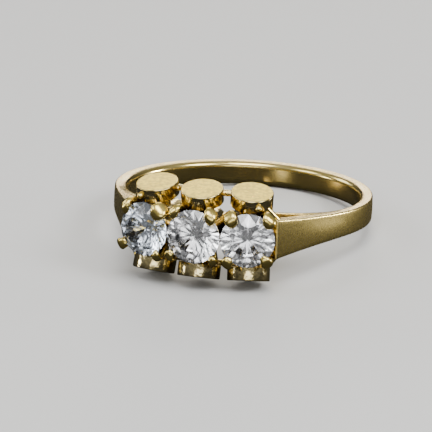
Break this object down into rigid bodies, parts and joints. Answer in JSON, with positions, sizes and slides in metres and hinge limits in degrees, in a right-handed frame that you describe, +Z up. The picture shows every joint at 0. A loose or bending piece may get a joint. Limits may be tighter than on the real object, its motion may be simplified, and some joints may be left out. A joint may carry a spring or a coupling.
{
  "type": "three stone ring",
  "caption": "Gold ring with round stones side by side in claw settings, plain round discs beside them and forked shoulders, lying on its side.",
  "frame": {"origin": "on the ground under the middle of the ring as it lies by itself", "axes": "+Z up from the ground, -Y towards the stones, +X to the right as seen from the stones' side"},
  "size_m": [0.0198, 0.0239, 0.0075],
  "materials": {
    "gold": "yellow gold, satin on the disc faces and the outside of the shank, polished elsewhere",
    "stone": "clear colourless stone with polished facets"
  },
  "bodies": {
    "root": {"ring_metal": "gold", "stone_left": "stone", "stone_middle": "stone", "stone_right": "stone"}
  },
  "joints": []
}
